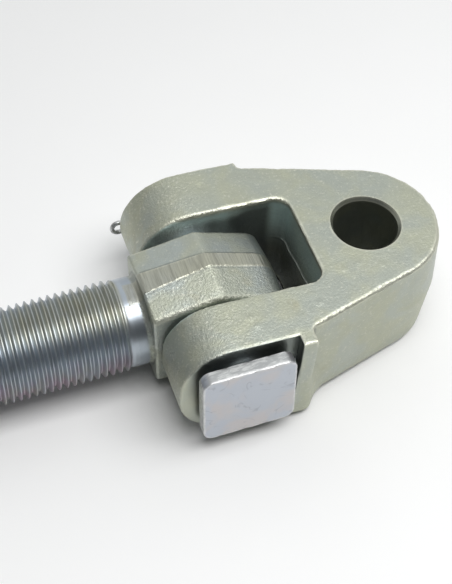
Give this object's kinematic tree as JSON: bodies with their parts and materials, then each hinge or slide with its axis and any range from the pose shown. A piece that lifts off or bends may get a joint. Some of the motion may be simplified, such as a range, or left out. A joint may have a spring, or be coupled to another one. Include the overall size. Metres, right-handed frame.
{
  "type": "knuckle rod end",
  "caption": "Forged knuckle rod end: a clevis with a plain hitch-pin bore, hinged by a square-headed pin to an eye forged in one with a threaded shank.",
  "frame": {"origin": "centre of the clevis bore, at the middle of the clevis's thickness", "axes": "+Z along the clevis bore, +X away from the threaded shank, Y along the knuckle pin with the square head at -Y"},
  "size_m": [0.23, 0.1031, 0.0516],
  "materials": {
    "clevis_zinc": "zinc-plated forging, satin, slightly yellow-green passivation",
    "eye_zinc": "zinc-plated forging, the thread brighter and smoother",
    "pin_zinc": "bright blue-white zinc plate with fine handling scratches",
    "split_pin_zinc": "zinc-plated wire"
  },
  "bodies": {
    "fork": {"clevis": "clevis_zinc"},
    "eye": {"threaded_eye": "eye_zinc"},
    "pin": {"knuckle_pin": "pin_zinc", "split_pin": "split_pin_zinc"}
  },
  "joints": [
    {"name": "eye_swing", "type": "hinge", "parent": "fork", "child": "eye", "pos_m": [-0.0648, 0, 0], "axis": [0, 1, 0], "range_deg": [-116.5, 123.5]},
    {"name": "pin_float", "type": "slide", "parent": "fork", "child": "pin", "axis": [0, 1, 0], "range_m": [0, 0.002]}
  ]
}
